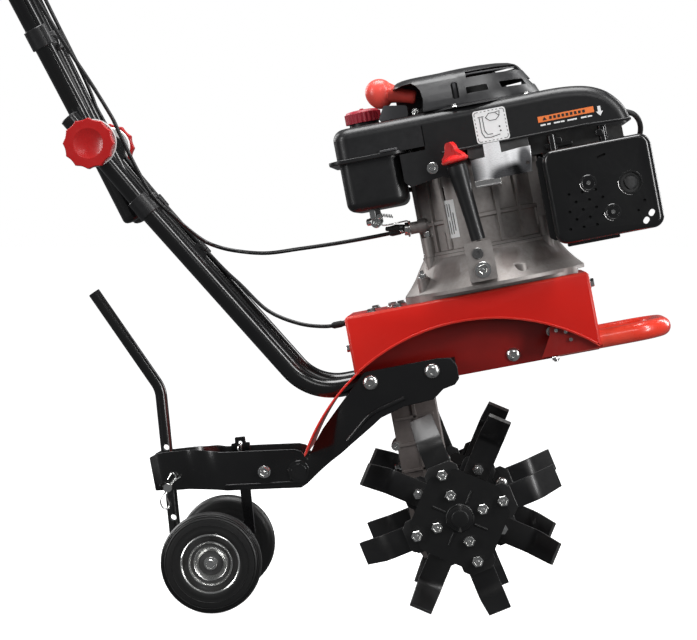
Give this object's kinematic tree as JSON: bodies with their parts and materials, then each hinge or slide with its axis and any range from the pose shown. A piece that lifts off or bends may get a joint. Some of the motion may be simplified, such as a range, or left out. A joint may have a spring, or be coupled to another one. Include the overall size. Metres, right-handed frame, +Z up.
{
  "type": "tiller",
  "caption": "Petrol tiller with curved tines under a red deck, vertical-shaft engine, folding twin-grip handlebar, transport wheels and a depth stake.",
  "frame": {"origin": "on the floor, at the middle of the whole machine's box", "axes": "+X forward, from the handlebar to the guard bar; +Y to the machine's left; +Z up"},
  "size_m": [1.0745, 0.5092, 1.039],
  "materials": {
    "red_paint": "gloss powder coat",
    "dark_red_paint": "satin paint",
    "black_paint": "gloss powder coat",
    "black_plastic": "fine grained moulding",
    "cast_aluminium": "as cast",
    "zinc_steel": "zinc plated",
    "bright_steel": "bright rolled",
    "black_rubber": "matte",
    "tyre_rubber": "solid rubber",
    "cap_red": "moulded",
    "pull_red": "moulded",
    "knob_red": "moulded"
  },
  "bodies": {
    "chassis": {"deck_cover": "red_paint", "fender": "red_paint", "side_frame": "dark_red_paint", "guard_bar": "red_paint", "hitch_arm_left": "black_paint", "hitch_arm_right": "black_paint", "hitch_bracket": "black_paint", "gearbox_case_left": "cast_aluminium", "gearbox_case_right": "cast_aluminium", "lower_handlebar_left": "black_paint", "lower_handlebar_right": "black_paint", "sump_cover": "cast_aluminium", "crankcase": "cast_aluminium", "cylinder_block": "cast_aluminium", "blower_housing": "black_plastic", "starter_cover": "black_plastic", "fuel_tank": "black_plastic", "oil_filler_tube": "black_plastic", "muffler": "zinc_steel", "muffler_guard": "black_paint", "heat_shield": "bright_steel", "carburettor": "cast_aluminium", "air_filter": "black_plastic", "spark_plug": "black_rubber", "piston": "cast_aluminium", "connecting_rod": "zinc_steel", "drive_belt": "black_rubber", "clutch_cable_lower": "black_rubber", "throttle_cable_lower": "black_rubber"},
    "tine_shaft": {"tine_axle": "zinc_steel", "worm_wheel": "zinc_steel", "tine_star_1": "black_paint", "tine_star_2": "black_paint", "tine_star_3": "black_paint", "tine_star_4": "black_paint"},
    "worm": {"worm_shaft": "zinc_steel", "driven_pulley": "cast_aluminium"},
    "crank": {"crankshaft": "zinc_steel", "flywheel": "cast_aluminium", "engine_pulley": "cast_aluminium"},
    "idler": {"idler_arm": "zinc_steel"},
    "fuel_cap": {"fuel_cap": "cap_red"},
    "dipstick": {"dipstick": "knob_red"},
    "starter_handle": {"starter_handle": "pull_red"},
    "throttle_arm": {"throttle_arm": "zinc_steel"},
    "upper_handlebar": {"upper_handlebar": "black_paint", "grip_left": "black_rubber", "grip_right": "black_rubber", "clutch_cable_upper": "black_rubber", "throttle_cable_upper": "black_rubber"},
    "clutch_lever": {"clutch_lever": "black_paint"},
    "throttle_lever": {"throttle_lever": "pull_red"},
    "knob_left": {"knob_left": "knob_red"},
    "knob_right": {"knob_right": "knob_red"},
    "wheel_carrier": {"wheel_carrier": "black_paint"},
    "wheel_left": {"tyre_left": "tyre_rubber", "rim_left": "zinc_steel"},
    "wheel_right": {"tyre_right": "tyre_rubber", "rim_right": "zinc_steel"},
    "depth_stake": {"depth_stake": "black_paint"}
  },
  "joints": [
    {"name": "tine_spin", "type": "hinge", "parent": "chassis", "child": "tine_shaft", "pos_m": [0.2609, 0, 0.1318], "axis": [0, 1, 0], "continuous": true},
    {"name": "worm_spin", "type": "hinge", "parent": "chassis", "child": "worm", "pos_m": [0.20533, 0, 0.223], "axis": [-0.1874, 0, 0.9823], "continuous": true},
    {"name": "crank_spin", "type": "hinge", "parent": "chassis", "child": "crank", "pos_m": [0.30291, 0, 0.44522], "axis": [-0.1874, 0, 0.9823], "continuous": true},
    {"name": "handlebar_fold", "type": "hinge", "parent": "chassis", "child": "upper_handlebar", "pos_m": [-0.2241, 0, 0.6126], "axis": [0, 1, 0], "range_deg": [-12, 95]},
    {"name": "knob_left_turn", "type": "hinge", "parent": "chassis", "child": "knob_left", "pos_m": [-0.2241, 0.098, 0.6126], "axis": [0, 1, 0], "range_deg": [0, 720]},
    {"name": "knob_right_turn", "type": "hinge", "parent": "chassis", "child": "knob_right", "pos_m": [-0.2241, -0.098, 0.6126], "axis": [0, -1, 0], "range_deg": [0, 720]},
    {"name": "clutch_squeeze", "type": "hinge", "parent": "upper_handlebar", "child": "clutch_lever", "pos_m": [-0.41485, 0.20981, 0.95438], "axis": [0, 1, 0], "range_deg": [0, 10], "stiffness_Nm_per_rad": 0.6, "springref_deg": -34.38},
    {"name": "idler_swing", "type": "hinge", "parent": "chassis", "child": "idler", "pos_m": [0.22271, 0.046, 0.35866], "axis": [-0.1874, 0, 0.9823], "range_deg": [-4.6, 0]},
    {"name": "throttle_swing", "type": "hinge", "parent": "upper_handlebar", "child": "throttle_lever", "pos_m": [-0.41098, -0.2089, 1.00099], "axis": [0, 1, 0], "range_deg": [-35, 20]},
    {"name": "throttle_arm_swing", "type": "hinge", "parent": "chassis", "child": "throttle_arm", "pos_m": [0.40339, 0.08, 0.59093], "axis": [-0.1874, 0, 0.9823], "range_deg": [-36, 21]},
    {"name": "starter_pull", "type": "slide", "parent": "chassis", "child": "starter_handle", "axis": [-0.9912, 0, 0.1325], "range_m": [0, 0.36], "stiffness_N_per_m": 20, "springref_m": -0.5},
    {"name": "fuel_cap_turn", "type": "hinge", "parent": "chassis", "child": "fuel_cap", "pos_m": [0.13015, 0, 0.64642], "axis": [-0.1874, 0, 0.9823], "range_deg": [0, 180]},
    {"name": "dipstick_turn", "type": "hinge", "parent": "chassis", "child": "dipstick", "pos_m": [0.25426, -0.121, 0.5866], "axis": [-0.2842, 0, 0.9588], "range_deg": [0, 45]},
    {"name": "wheel_lift", "type": "slide", "parent": "chassis", "child": "wheel_carrier", "axis": [-0.1066, 0, 0.9943], "range_m": [0, 0.04]},
    {"name": "wheel_left_spin", "type": "hinge", "parent": "wheel_carrier", "child": "wheel_left", "pos_m": [-0.0637, 0.11, 0.0661], "axis": [0, 1, 0], "continuous": true},
    {"name": "wheel_right_spin", "type": "hinge", "parent": "wheel_carrier", "child": "wheel_right", "pos_m": [-0.0637, -0.11, 0.0661], "axis": [0, 1, 0], "continuous": true},
    {"name": "stake_slide", "type": "slide", "parent": "chassis", "child": "depth_stake", "axis": [-0.0996, 0, 0.995], "range_m": [-0.0474, 0.0474]}
  ],
  "couplings": [
    {"joint": "worm_spin", "follows": "tine_spin", "ratio": 20},
    {"joint": "idler_swing", "follows": "clutch_squeeze", "ratio": -0.45},
    {"joint": "throttle_arm_swing", "follows": "throttle_swing", "ratio": 1}
  ]
}
